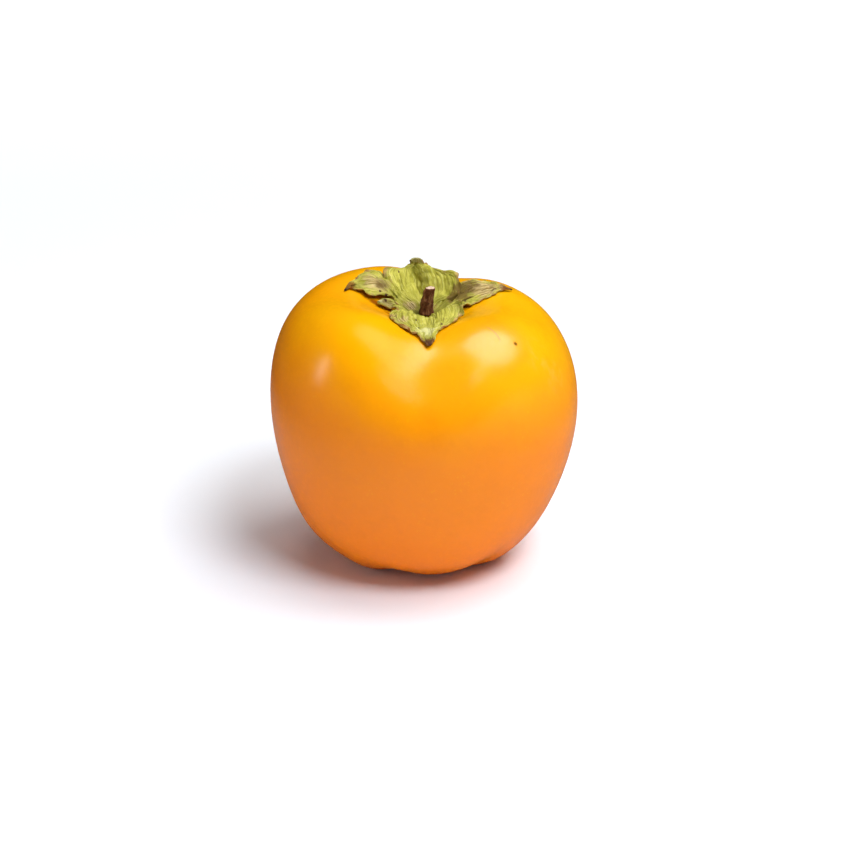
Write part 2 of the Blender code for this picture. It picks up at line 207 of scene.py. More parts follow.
# The wrinkles, each named for the setting with its depth: its texture's size, its map, and where it goes.
WRINKLES = (
    ("pleats", 0.22, "UV", "tissue"),
    ("crumple", 3.4 * MM, "LOCAL", "tissue"),
    ("curl", 2.3 * MM, "LOCAL", "margin"),
    ("crinkle", 1.1 * MM, "LOCAL", "tissue"),
)
# The paint layers of the calyx, and the kinds of patch that each holds.
LAYERS = {"stain": ("tan", "brown", "dark"), "bloom": ("pale", "rust", "fold_shade")}
# The patches of each kind: x, y, height, radius, strength.
PATCHES = {
    "tan": (
        (-8.0, -11.0, 70.0, 4.0, 0.8), (9.6, -10.2, 70.0, 2.4, 0.7), (-5.5, -13.6, 69.4, 4.6, 0.7),
        (15.0, 8.0, 70.0, 8.5, 1.1), (20.5, 9.0, 69.5, 4.0, 1.2), (-1.4, 13.6, 75.2, 3.2, 0.6),
        (-9.8, 12.4, 72.8, 2.6, 0.6), (8.6, 12.4, 71.6, 2.6, 0.8), (-12.0, 7.0, 72.0, 7.6, 0.9),
        (-9.0, 0.4, 69.2, 4.0, 0.8), (-3.3, 3.2, 67.3, 3.8, 0.9), (1.0, 4.6, 67.0, 4.6, 0.7),
    ),
    "brown": (
        (-9.4, -12.2, 70.3, 2.6, 1.1), (-5.8, -16.4, 69.4, 1.6, 0.8), (7.4, -14.4, 69.2, 1.8, 0.8),
        # Partly painted shade as well as brown tissue: the valley where the right lobe rises, the back lobe's
        # crease at x -1.1 and -1.3, and the bowl floor round the stalk at 1.0, 0.0.
        (9.2, 4.6, 68.4, 5.4, 1.3), (11.6, 10.0, 70.3, 4.8, 1.2), (10.4, 7.4, 69.6, 5.0, 1.6),
        (14.2, 7.6, 70.0, 3.2, 0.5), (17.6, 7.4, 70.0, 2.8, 0.7), (-1.1, 12.6, 72.2, 1.3, 0.7),
        (-1.3, 13.6, 73.6, 1.5, 0.7), (-10.6, 12.6, 73.4, 1.0, 0.8), (-10.6, 7.0, 71.6, 4.0, 0.8),
        (-14.6, 5.6, 72.4, 2.4, 0.6), (-11.2, -0.8, 69.6, 1.2, 1.0), (1.0, 0.0, 66.0, 4.6, 0.8),
    ),
    "dark": (  # the tips of the lobes, and small spots
        (1.5, -24.0, 67.1, 6.2, 0.8), (22.7, 9.4, 69.0, 2.2, 1.0), (-3.6, 13.2, 75.4, 1.2, 1.4),
        (-19.8, 2.6, 71.4, 2.2, 1.2),
        (-8.9, 6.1, 70.3, 0.7, 1.6), (-7.4, 7.0, 69.5, 0.7, 1.6), (-10.8, 4.4, 70.5, 0.7, 1.5),
        (-9.2, 3.3, 69.9, 0.8, 1.6), (-8.2, 5.0, 69.7, 0.6, 1.6), (-11.7, 9.8, 72.0, 0.7, 1.5),
        # Painted shade: the last spot on the next line and the three after it are the ear's hole and split,
        # drawn dark on leaf that has no gap.
        (6.9, 12.6, 72.2, 0.9, 1.5), (4.6, 13.2, 72.6, 0.7, 1.5), (-9.4, 1.2, 69.4, 0.9, 1.6),
        (-9.1, 0.0, 69.2, 0.8, 1.3), (-7.8, -0.2, 68.9, 0.8, 1.4), (-6.6, -0.2, 68.5, 0.8, 1.4),
        (-7.1, -11.0, 69.9, 0.7, 1.7), (-3.3, -11.8, 69.4, 0.65, 1.7), (-1.7, -11.8, 69.0, 0.6, 1.7),
    ),
    "pale": (
        # The back tip's patch at -1.3, 13.6 is partly painted light, made strong to lighten the tip where it
        # faces down and forwards.
        (1.0, -17.6, 68.0, 5.0, 0.9), (-1.5, -13.0, 68.6, 5.0, 0.5), (-1.3, 13.6, 75.7, 2.6, 1.6),
        (-10.8, 0.2, 69.4, 1.8, 1.1),
    ),
    "rust": (
        (1.5, -23.2, 67.3, 4.2, 1.0), (20.8, 9.0, 69.4, 3.4, 1.0), (-5.2, -16.3, 69.3, 1.8, 1.1),
        (-7.6, -14.6, 69.8, 1.5, 1.0), (-3.2, -18.0, 68.8, 1.3, 1.0), (-18.6, 4.2, 71.8, 3.4, 1.0),
    ),
    "fold_shade": (  # painted shade in the folds, the creases and the bowl round the stalk
        (9.6, -7.4, 71.4, 4.0, 0.8), (10.2, 6.0, 69.2, 5.0, 1.0), (0.8, 8.4, 69.2, 3.0, 0.55),
        (0.4, 10.8, 70.8, 3.2, 0.7), (0.2, 12.4, 72.2, 2.6, 0.65), (3.2, 9.4, 70.4, 3.6, 0.4),
        (-4.6, 1.2, 67.3, 2.4, 0.7), (-1.6, 0.8, 66.6, 2.4, 0.8), (3.6, 1.4, 66.9, 2.4, 0.8),
        (6.0, 2.4, 67.8, 3.2, 1.0), (8.4, 4.0, 68.5, 3.2, 1.1),
    ),
}

# --- The stalk -------------------------------------------------------------------------------------------
STALK_SIDES = 20
STALK_ROOT = 0.5  # how far it goes down into the calyx
# The stalk's middle line, and its radius there: x, y, share of its height, radius.
STALK = (
    (0.8, 0.0, 0.0, 1.95), (0.9, 0.0, 0.12, 1.85), (1.0, 0.0, 0.27, 1.6), (1.1, 0.0, 0.42, 1.66),
    (1.2, -0.1, 0.56, 1.5), (1.38, -0.15, 0.7, 1.42), (1.6, -0.2, 0.86, 1.4), (1.85, -0.3, 0.97, 1.3),
)
# The cut end's insets: width, and how far it rises. The first is the saw's bevel, the last the pith.
CUT_INSETS = ((0.16, 0.12), (0.35, 0.0), (0.5, -0.1))
CUT_SLOPE = math.radians(7)
# Bumps on the stalk: azimuth, share of the height, how far out, reach.
NODULES = (
    (200, 0.42, 0.4, 1.1), (320, 0.18, 0.35, 1.2), (90, 0.6, 0.3, 1.2),
    (240, 0.1, 0.3, 1.2), (30, 0.78, 0.2, 0.9), (285, 0.62, -0.18, 0.9),
)
NODULE_RADIUS = 1.5  # how far from the middle line a bump is looked for

# --- The stage -------------------------------------------------------------------------------------------
FLOOR_SIZE = 12
VIEW_ELEVATION = 23
VIEW_DISTANCE = 0.9
VIEW_LENS = 149.6
AIM = Vector((0.00056, 0, 0.0358))
SKY = (0.84, 0.92, 1.0)  # the colour of the light that reaches the shadows
WHITE = (1, 1, 1)
BLACK = (0, 0, 0)
FRUIT_MIDDLE = (0, 0, 0.04)
FRUIT_FOOT = (0, 0, 0.02)
# The lamps: place, what each faces, the setting with its power, its share of that, width, height, turn.
LAMPS = {
    "key_lamp": ((0.6, 0.02, 1.38), FRUIT_MIDDLE, "key", 1, 1.15, 0.95, 0),
    "top_lamp": ((-0.14, 0.2, 1.5), FRUIT_MIDDLE, "top", 1, 0.7, 0.8, 0),
    "side_lamp": ((-0.61, -0.08, 0.24), FRUIT_MIDDLE, "side", 1, 0.05, 0.28, 0),
    "fill_lamp": ((0.54, -0.81, 1.3), FRUIT_MIDDLE, "fill", 1, 0.8, 0.6, 0),
    "right_card": ((0.7, -0.25, 0.1), FRUIT_FOOT, "cards", 1, 0.5, 0.16, 0),
    "left_card": ((-0.6, -0.36, 0.1), FRUIT_FOOT, "cards", 0.9, 0.4, 0.16, 0),
    "sheen_lamp": ((0.56, 0.2, 1.43), FRUIT_MIDDLE, "sheen", 1, 1.45, 2.1, -43),
}
SEEN_IN_WAX = ("side_lamp", "sheen_lamp")
SKY_COLOURED = ("fill_lamp", "right_card", "left_card")


# --- Modelling by hand -----------------------------------------------------------------------------------
def start_piece():
    """Nothing is selected, so that the next operator acts on its own new object alone."""
    if bpy.context.object and bpy.context.object.mode != "OBJECT":
        bpy.ops.object.mode_set(mode="OBJECT")
    bpy.ops.object.select_all(action="DESELECT")


def name_piece(name):
    piece = bpy.context.object
    piece.name = name
    piece.data.name = name
    return piece


def finish_piece(piece, body, slot, *nodes):
    bpy.ops.object.mode_set(mode="OBJECT")
    bpy.ops.object.transform_apply(location=True, rotation=True, scale=True)
    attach(piece, body)
    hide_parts(*nodes)


def start_edit():
    bpy.ops.object.mode_set(mode="EDIT")
    bpy.ops.mesh.select_mode(type="VERT")
    bpy.ops.mesh.select_all(action="DESELECT")


def select_verts(piece, verts):
    """In edit mode, selects these vertices and the edges and faces between them."""
    bpy.ops.mesh.select_all(action="DESELECT")
    for vert in verts:
        vert.select = True
    mesh = bmesh.from_edit_mesh(piece.data)
    mesh.select_flush(True)
    bmesh.update_edit_mesh(piece.data)


def move(piece, verts, value, reach=0.0):
    """Moves vertices, and with a reach also moves what is near them by less."""
    select_verts(piece, verts)
    nearby = {}
    if reach:
        nearby = {"use_proportional_edit": True, "proportional_edit_falloff": "SMOOTH"}
        nearby["proportional_size"] = reach
    bpy.ops.transform.translate(value=value, **nearby)


def apply_modifier(piece, name, kind, **settings):
    modifier = piece.modifiers.new(name, kind)
    for key, value in settings.items():
        setattr(modifier, key, value)
    bpy.ops.object.modifier_apply(modifier=modifier.name)


def subdivide(piece, levels):
    apply_modifier(piece, "smooth", "SUBSURF", levels=levels, render_levels=levels)


def clouds(name, size, depth):
    texture = bpy.data.textures.new(name, "CLOUDS")
    texture.noise_scale = size
    texture.noise_depth = depth
    return texture


def direction(azimuth):
    turn = math.radians(azimuth)
    return Vector((math.cos(turn), math.sin(turn), 0))


def spline(points, share):
    """A smooth curve through evenly spaced points, read at a share of its length."""
    last = len(points) - 1
    index = min(int(share * last), last - 1)
    t = share * last - index
    start = points[index]
    end = points[index + 1]
    slope_in = (end - points[max(index - 1, 0)]) / 2
    slope_out = (points[min(index + 2, last)] - start) / 2
    return (
        start * (2 * t ** 3 - 3 * t ** 2 + 1)
        + slope_in * (t ** 3 - 2 * t ** 2 + t)
        + end * (3 * t ** 2 - 2 * t ** 3)
        + slope_out * (t ** 3 - t ** 2)
    )


def ease(low, high, value):
    t = max(0.0, min(1.0, (value - low) / (high - low)))
    return t * t * (3 - 2 * t)


# --- Shader maths ----------------------------------------------------------------------------------------
class Socket:
    """A node's output that Python arithmetic works on: each operator adds its Math node."""

    def __init__(self, shader, socket):
        self.shader = shader
        self.socket = socket

    def math(self, operation, *values):
        return self.shader.node("ShaderNodeMath", {"operation": operation}, *values)

    def __add__(self, other):
        return self.math("ADD", self, other)

    def __sub__(self, other):
        return self.math("SUBTRACT", self, other)

    def __rsub__(self, other):
        return self.math("SUBTRACT", other, self)

    def __mul__(self, other):
        return self.math("MULTIPLY", self, other)

    def __truediv__(self, other):
        return self.math("DIVIDE", self, other)

    def __rtruediv__(self, other):
        return self.math("DIVIDE", other, self)

    def __abs__(self):
        return self.math("ABSOLUTE", self)

    __radd__ = __add__
    __rmul__ = __mul__

    def step(self, low, high):
        """0 below low, 1 above high, eased between."""
        settings = {"interpolation_type": "SMOOTHSTEP"}
        return self.shader.node("ShaderNodeMapRange", settings, self, low, high)


class Shader:
    """One material's nodes."""

    def __init__(self, name):
        self.material = bpy.data.materials.new(name)
        self.take(self.material, "Principled BSDF")

    def take(self, owner, surface):
        owner.use_nodes = True
        self.tree = owner.node_tree
        self.surface = self.tree.nodes[surface]

    def node(self, kind, settings=None, *values, out=0, **named):
        """Adds a node: its settings first, then its sockets in order or by name."""
        node = self.tree.nodes.new(kind)
        for key, value in (settings or {}).items():
            setattr(node, key, value)
        sockets = [socket for socket in node.inputs if socket.enabled]
        pairs = list(zip(sockets, values))
        pairs += [(node.inputs[key], value) for key, value in named.items()]
        for socket, value in pairs:
            self.feed(socket, value)
        if isinstance(out, str):
            return Socket(self, node.outputs[out])
        return Socket(self, [socket for socket in node.outputs if socket.enabled][out])

    def feed(self, socket, value):
        if isinstance(value, Socket):
            self.tree.links.new(value.socket, socket)
        else:
            socket.default_value = value

    def set(self, name, value):
        self.feed(self.surface.inputs[name], value)

    def mix(self, share, first, second):
        """A colour between two colours."""
        ends = [colour if isinstance(colour, Socket) else (*colour, 1) for colour in (first, second)]
        return self.node("ShaderNodeMix", {"data_type": "RGBA"}, share, *ends)

    def noise(self, place, scale, detail=2.0, roughness=0.5):
        named = {"Vector": place, "Scale": scale, "Detail": detail, "Roughness": roughness}
        return self.node("ShaderNodeTexNoise", {}, **named)

    def at(self):
        return self.node("ShaderNodeTexCoord", out="Object")

    def split(self, whole, kind="ShaderNodeSeparateXYZ"):
        """The three numbers of a vector or a colour."""
        parts = self.node(kind, {}, whole).socket.node
        return [Socket(self, output) for output in parts.outputs]

    def vector(self, x, y, z):
        return self.node("ShaderNodeCombineXYZ", {}, x, y, z)

    def vector_math(self, operation, *values):
        return self.node("ShaderNodeVectorMath", {"operation": operation}, *values)

    def distance(self, place, point):
        return self.vector_math("DISTANCE", place, [number * MM for number in point])

    def near(self, place, mark):
        """1 in the middle of a mark and 0 beyond its end."""
        *point, inner, outer = mark
        return 1 - self.distance(place, point).step(inner * MM, outer * MM)

    def painted(self, layer):
        """The three amounts painted on the piece in a layer."""
        colour = self.node("ShaderNodeVertexColor", {"layer_name": layer})
        return self.split(colour, "ShaderNodeSeparateColor")

    def bump(self, height, distance, strength=1.0, normal=None):
        named = {"Height": height, "Distance": distance, "Strength": strength}
        if normal:
            named["Normal"] = normal
        return self.node("ShaderNodeBump", {}, **named)


class RoomShader(Shader):
    """The world's nodes."""

    def __init__(self, world):
        self.take(world, "Background")


# --- Settings that a user would change -------------------------------------------------------------------
def colour_property(name, description, default):
    return FloatVectorProperty(
        name=name, description=description, default=default, subtype="COLOR", size=3, min=0, max=1
    )


def length_property(name, description, default):
    return FloatProperty(
        name=name, description=description, default=default, subtype="DISTANCE", unit="LENGTH", min=0
    )


def power_property(name, description, default):
    return FloatProperty(name=name, description=description, default=default, unit="POWER", min=0)


class FruitSettings(bpy.types.PropertyGroup):
    """The fruit and its skin."""

    relief: FloatProperty(
        name="Relief", description="How far the shoulders and creases stand out", default=1, min=0
    )
    crown: colour_property("Crown", "The skin round the calyx", (0.90, 0.42, 0.0))
    cheek: colour_property("Cheek", "The skin at the fruit's widest", (0.88, 0.222, 0.0))
    base: colour_property("Base", "The skin at the blossom end", (1.0, 0.228, 0.004))
    roughness: FloatProperty(
        name="Roughness", description="How dull the wax is", default=0.25, subtype="FACTOR", min=0, max=1
    )


class CalyxSettings(bpy.types.PropertyGroup):
    """The dry calyx."""

    thickness: length_property("Thickness", "How thick the leaf is", 0.36 * MM)
    pleats: length_property("Pleats", "How deep the wrinkles along the veins are", 0.9 * MM)
    crumple: length_property("Crumple", "How far the whole leaf is crumpled", 0.9 * MM)
    curl: length_property("Curl", "How far the margins curl", 1.6 * MM)
    crinkle: length_property("Crinkle", "How deep the finest wrinkles are", 0.35 * MM)
    ragged: length_property("Ragged edge", "How uneven the margins are", 1.1 * MM)
    seed: IntProperty(name="Seed", description="Which ragged edge is drawn", default=4, min=0)
    green: colour_property("Green", "The fresher tissue", (0.34, 0.31, 0.03))
    straw: colour_property("Straw", "The paler tissue between the veins", (0.58, 0.515, 0.085))
    tan: colour_property("Tan", "Tissue that has dried out", (0.50, 0.31, 0.12))
    brown: colour_property("Brown", "Dead patches", (0.12, 0.065, 0.012))
    rust: colour_property("Rust", "The reddish ends of the lobes", (0.22, 0.06, 0.008))
    dark: colour_property("Dark", "The withered tips", (0.075, 0.028, 0.018))


class StalkSettings(bpy.types.PropertyGroup):
    """The woody stalk."""

    bark: colour_property("Bark", "The bark", (0.09, 0.025, 0.009))
    ridge: colour_property("Ridges", "The bark's worn ridges", (0.26, 0.11, 0.045))
    cut: colour_property("Cut face", "The wood where the stalk was cut", (0.66, 0.42, 0.27))
    relief: length_property("Relief", "How rough the bark is", 0.42 * MM)


class StageSettings(bpy.types.PropertyGroup):
    """The floor and the light."""

    floor: colour_property("Floor", "The floor", (0.88, 0.88, 0.9))
    key: power_property("Key light", "The large lamp's power", 14.6)
    fill: power_property("Fill light", "The front lamp's power", 19.5)
    top: power_property("Top light", "The overhead lamp's power", 4)
    side: power_property("Side light", "The side strip's power", 0.34)
    cards: power_property("Cards", "The low white cards' power", 0.5)
    sheen: power_property("Sheen", "The power of the lamp that only the wax shows", 40)
    room: FloatProperty(name="Room light", description="How bright the room is", default=0.13, min=0)


# --- The pieces ------------------------------------------------------------------------------------------
class PERSIMMON_OT_fruit(bpy.types.Operator):
    """Shape the fruit from a sphere and give it its skin"""

    bl_idname = "persimmon.fruit"
    bl_label = "Fruit"
    bl_options = {"REGISTER", "UNDO"}

    def execute(self, context):
        settings = context.scene.persimmon_fruit
        low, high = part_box("fruit")
        start_piece()
        bpy.ops.mesh.primitive_uv_sphere_add(
            segments=COLUMNS, ring_count=len(RINGS) + 1, radius=(high.x - low.x) / 2
        )
        fruit = name_piece("fruit_skin")
        start_edit()
        cage = self.number_cage(fruit)
        self.shape_rings(fruit, cage)
        self.pull(fruit, cage, settings.relief)
        self.lean(fruit, cage)
        bpy.ops.object.mode_set(mode="OBJECT")
        subdivide(fruit, 3)
        self.rest_on_floor(fruit)
        bpy.ops.object.shade_smooth()
        fruit.data.materials.append(skin_material(settings))
        finish_piece(fruit, "root", "fruit_skin", "fruit")
        return {"FINISHED"}

    def number_cage(self, fruit):
        """The cage's vertices by ring and column. Ring -1 is the crown's pole."""
        self.mesh = bmesh.from_edit_mesh(fruit.data)  # kept, because its vertices go with it
        cage = {}
        for vert in self.mesh.verts:
            polar = vert.co.normalized()
            ring = round(math.acos(max(-1.0, min(1.0, polar.z))) / math.pi * (len(RINGS) + 1)) - 1
            column = round(math.atan2(polar.y, polar.x) / math.tau * COLUMNS) % COLUMNS
            cage[ring, 0 if ring in (-1, len(RINGS)) else column] = vert
        return cage

    def select_ring(self, fruit, cage, wanted):
        verts = [vert for (ring, _), vert in cage.items() if ring == wanted]
        select_verts(fruit, verts)
        return verts[0].co.copy()

    def shape_rings(self, fruit, cage):
        rings = {-1: (0, CROWN_POLE), len(RINGS): (0, BLOSSOM_POLE), **dict(enumerate(RINGS))}
        for ring, (radius, height) in rings.items():
            old = self.select_ring(fruit, cage, ring)
            if radius:
                grow = radius * MM / old.xy.length
                bpy.ops.transform.resize(value=(grow, grow, 1), center_override=(0, 0, 0))
            bpy.ops.transform.translate(value=(0, 0, height * MM - old.z))

    def pull(self, fruit, cage, relief):
        for azimuth, first, last, out, reach in PULLS:
            column = round(azimuth / 360 * COLUMNS) % COLUMNS
            line = [cage[ring, column] for ring in range(first, last + 1)]
            middle = sum((vert.co for vert in line), Vector()) / len(line)
            push = (middle - CORE * MM).normalized() * out * relief * MM
            move(fruit, line, push, reach * MM)

    def lean(self, fruit, cage):
        """Tips each ring about its own middle, the crown most of all."""
        for ring, (_, height) in enumerate(RINGS):
            self.select_ring(fruit, cage, ring)
            turn = -LEAN * height / CROWN_POLE
            bpy.ops.transform.rotate(value=turn, orient_axis="Y", center_override=(0, 0, height * MM))

    def rest_on_floor(self, fruit):
        """Flattens what hangs below the resting surface."""
        start_edit()
        mesh = bmesh.from_edit_mesh(fruit.data)
        select_verts(fruit, [vert for vert in mesh.verts if vert.co.z < 0])
        bpy.ops.transform.resize(value=(1, 1, 0), center_override=(0, 0, 0))
        bpy.ops.object.mode_set(mode="OBJECT")


class PERSIMMON_OT_calyx(bpy.types.Operator):
    """Draw the calyx out from a ring round the stalk, lobe by lobe, and wither it"""

    bl_idname = "persimmon.calyx"
    bl_label = "Calyx"
    bl_options = {"REGISTER", "UNDO"}

    def execute(self, context):
        settings = context.scene.persimmon_calyx
        low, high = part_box("calyx_disc")
        self.centre = Vector(((low.x + high.x) / 2, (low.y + high.y) / 2, 0)) / MM
        start_piece()
        bpy.ops.mesh.primitive_circle_add(
            vertices=CALYX_COLUMNS,
            radius=BOWL[0][0] * MM,
            location=(self.centre + Vector((0, 0, BOWL_FLOOR))) * MM,
        )
        calyx = name_piece("calyx_leaf")
        bpy.ops.object.transform_apply(location=True, rotation=False, scale=False)
        start_edit()
        self.number_first_ring(calyx)
        self.draw_bowl(calyx)
        for number, name in enumerate(LOBES):
            self.draw_lobe(calyx, number + 1, *LOBES[name])
        self.fold(calyx)
        self.map_leaf(calyx)
        self.face_up(calyx)
        bpy.ops.object.mode_set(mode="OBJECT")
        self.wither(calyx, settings)
        bpy.ops.object.shade_smooth()
        self.stain(calyx)
        for material in leaf_materials(settings):
            calyx.data.materials.append(material)
        finish_piece(
            calyx, "root", "dry_leaf", "sepal_front", "sepal_right", "sepal_back", "sepal_left", "calyx_disc"
        )
        return {"FINISHED"}

    def number_first_ring(self, calyx):
        """Gives each vertex its column, its row and its lobe. Extruded vertices take them over."""
        mesh = bmesh.from_edit_mesh(calyx.data)
        for name in ("column", "row", "lobe"):
            mesh.verts.layers.int.new(name)
        column = mesh.verts.layers.int["column"]
        for vert in mesh.verts:
            out = vert.co - self.centre * MM
            turn = math.degrees(math.atan2(out.y, out.x))
            vert[column] = round((turn - CALYX_START) / 360 * CALYX_COLUMNS) % CALYX_COLUMNS
        bmesh.update_edit_mesh(calyx.data)

    def numbered(self, calyx):
        """The vertices, and their columns, rows and lobes."""
        self.mesh = bmesh.from_edit_mesh(calyx.data)  # kept, because its vertices go with it
        verts = self.mesh.verts
        return verts, *[verts.layers.int[name] for name in ("column", "row", "lobe")]

    def extrude(self, calyx, lobe, chosen):
        """Extrudes a run of vertices, and returns the new ones by their column."""
        verts, column, row, lobes = self.numbered(calyx)
        select_verts(calyx, [vert for vert in verts if chosen(vert[lobes], vert[row], vert[column])])
        bpy.ops.mesh.extrude_region_move()
        made = {}
        for vert in verts:
            if vert.select:
                vert[row] += 1
                vert[lobes] = lobe
                made[vert[column]] = vert
        return made

    def draw_bowl(self, calyx):
        for number, (radius, share) in enumerate(BOWL[1:]):
            made = self.extrude(calyx, 0, lambda lobe, row, column: row == number)
            for column, vert in made.items():
                move(calyx, [vert], self.bowl_point(column, radius, share) * MM - vert.co)

    def bowl_point(self, column, radius, share):
        azimuth = CALYX_START + column * 360 / CALYX_COLUMNS
        height = BOWL_FLOOR + (self.rim_height(azimuth % 360) - BOWL_FLOOR) * share
        return self.centre + direction(azimuth) * radius + Vector((0, 0, height))

    def rim_height(self, azimuth):
        for (start, low), (end, high) in zip(RIM, RIM[1:]):
            if start <= azimuth <= end:
                return low + (high - low) * ease(start, end, azimuth)

    def draw_lobe(self, calyx, lobe, first, last, rows):
        width = last - first
        rim = len(BOWL) - 1
        for number, points in enumerate(rows):
            def chosen(owner, row, column, old=rim + number):
                if row != old or (column - first) % CALYX_COLUMNS > width:
                    return False
                return owner == (lobe if old > rim else 0)

            made = self.extrude(calyx, lobe, chosen)
            points = [Vector(point) for point in points]
            for column, vert in made.items():
                share = (column - first) % CALYX_COLUMNS / width
                move(calyx, [vert], spline(points, share) * MM - vert.co)

    def fold(self, calyx):
        """Pushes lines of the leaf down into creases or up into crests."""
        names = list(LOBES)
        for name, line, first, last, x, y, height, reach in FOLDS:
            verts, column, row, lobes = self.numbered(calyx)
            owners = (0, names.index(name) + 1)
            chosen = [
                vert
                for vert in verts
                if vert[column] == line and first <= vert[row] <= last and vert[lobes] in owners
            ]
            move(calyx, chosen, Vector((x, y, height)) * MM, reach * MM)

    def map_leaf(self, calyx):
        """The leaf map: across the lobe from 0 to 1, and along it from the stalk to the tip."""
        _, column, row, lobes = self.numbered(calyx)
        leaf = self.mesh.loops.layers.uv.new("leaf")
        pleat = self.mesh.loops.layers.uv.new("pleat")
        names = list(LOBES)
        lengths = {name: self.lengths(*LOBES[name]) for name in names}
        for face in self.mesh.faces:
            name = self.lobe_of(face, column, lobes)
            first, last, _ = LOBES[name]
            for loop in face.loops:
                over = (loop.vert[column] - first) % CALYX_COLUMNS
                along = lengths[name][loop.vert[row]] / VEIN_UNIT
                loop[leaf].uv = (over / (last - first), along)
                start = PLEAT_GAP * names.index(name)
                loop[pleat].uv = (over * PLEAT_STRETCH[0] + start, along * PLEAT_STRETCH[1])
        bmesh.update_edit_mesh(calyx.data)

    def lobe_of(self, face, column, lobes):
        """The lobe that a face is in, or that its part of the bowl leads to."""
        owners = [vert[lobes] for vert in face.verts if vert[lobes]]
        if owners:
            return list(LOBES)[owners[0] - 1]
        columns = [vert[column] for vert in face.verts]
        closing = max(columns) - min(columns) > 1  # it joins the last column to the first
        start = max(columns) if closing else min(columns)
        return next(name for name, (first, last, _) in LOBES.items() if first <= start < last)

    def lengths(self, first, last, rows):
        """How far each row of a lobe's middle is from the stalk, in millimetres."""
        found = [radius for radius, _ in BOWL]
        before = self.bowl_point((first + last) / 2, *BOWL[-1])
        for points in rows:
            middle = Vector(points[2])
            found.append(found[-1] + (middle - before).length)
            before = middle
        return found

    def face_up(self, calyx):
        bpy.ops.mesh.select_all(action="SELECT")
        bpy.ops.mesh.normals_make_consistent(inside=False)
        mesh = bmesh.from_edit_mesh(calyx.data)
        if sum(face.normal.z for face in mesh.faces) < 0:
            bpy.ops.mesh.flip_normals()

    def wither(self, calyx, settings):
        subdivide(calyx, 1)
        self.tear_margin(calyx, settings)
        subdivide(calyx, 1)
        self.weigh(calyx)
        for name, size, coordinates, group in WRINKLES:
            self.wrinkle(calyx, name, getattr(settings, name), size, coordinates, group)
        fruit = bpy.data.objects["fruit_skin"]
        offset = CLEARANCE * MM + settings.thickness / 2
        away = {"wrap_method": "NEAREST_SURFACEPOINT", "wrap_mode": "OUTSIDE"}
        apply_modifier(calyx, "clear_of_fruit", "SHRINKWRAP", target=fruit, offset=offset, **away)
        faces = {"material_offset": 1, "material_offset_rim": 2}
        apply_modifier(calyx, "wall", "SOLIDIFY", thickness=settings.thickness, offset=0, **faces)
        subdivide(calyx, 1)

    def tear_margin(self, calyx, settings):
        """Leaves the margin uneven: shallow bites and teeth between its larger bumps.

        The draw goes by the order of the vertices, which extruding doesn't repeat from run to run, so one
        seed doesn't give exactly the same edge twice.
        """
        start_edit()
        mesh = bmesh.from_edit_mesh(calyx.data)
        centre = self.centre.xy * MM
        margin = [
            vert
            for vert in mesh.verts
            if vert.is_boundary
            and (vert.co.xy - centre).length > BOWL[-1][0] * MM
            and self.from_tip(vert) > TIP_KEPT * MM
        ]
        select_verts(calyx, margin)
        bpy.ops.transform.vertex_random(offset=settings.ragged, seed=settings.seed)
        bpy.ops.object.mode_set(mode="OBJECT")

    def from_tip(self, vert):
        """How far a vertex is from the nearest tip of a lobe."""
        return min((vert.co - Vector(rows[-1][2]) * MM).length for _, _, rows in LOBES.values())

    def weigh(self, calyx):
        """The leaf crumples away from the stalk, and curls along its margin. Its tips stay slender."""
        near, far = [distance * MM for distance in SLENDER]
        slender = [ease(near, far, self.from_tip(vert)) for vert in calyx.data.vertices]
        leaf = calyx.data.uv_layers["leaf"].data
        tissue = calyx.vertex_groups.new(name="tissue")
        for loop, uv in zip(calyx.data.loops, leaf):
            index = loop.vertex_index
            tissue.add([index], ease(0.05, 0.35, uv.uv.y) * (0.2 + 0.8 * slender[index]), "REPLACE")
        mesh = bmesh.new()
        mesh.from_mesh(calyx.data)
        edge = [vert.co.copy() for vert in mesh.verts if vert.is_boundary and vert.co.z > EDGE_FLOOR * MM]
        mesh.free()
        tree = KDTree(len(edge))
        for index, place in enumerate(edge):
            tree.insert(place, index)
        tree.balance()
        margin = calyx.vertex_groups.new(name="margin")
        near, far = [distance * MM for distance in MARGIN]
        for vert in calyx.data.vertices:
            weight = (1 - ease(near, far, tree.find(vert.co)[2])) * slender[vert.index]
            margin.add([vert.index], weight, "REPLACE")

    def wrinkle(self, calyx, name, depth, size, coordinates, group):
        texture = clouds(name, size, 2)
        texture.contrast = 2
        settings = {"texture": texture, "texture_coords": coordinates, "strength": depth}
        if coordinates == "UV":
            settings["uv_layer"] = "pleat"
        apply_modifier(calyx, name, "DISPLACE", vertex_group=group, **settings)

    def stain(self, calyx):
        """Paints where the leaf has dried, died or paled, and paints shade into its folds, its creases, its
        bowl and the ear's split.
        """
        for layer, kinds in LAYERS.items():
            paint = calyx.data.color_attributes.new(layer, "FLOAT_COLOR", "POINT")
            for vert, dab in zip(calyx.data.vertices, paint.data):
                place = vert.co / MM
                amounts = [max(self.patches(place, kind)) for kind in kinds]
                dab.color = (*amounts, 1.0)

    def patches(self, place, kind):
        for x, y, height, radius, strength in PATCHES[kind]:
            yield strength * (1 - ease(0, radius, (place - Vector((x, y, height))).length))


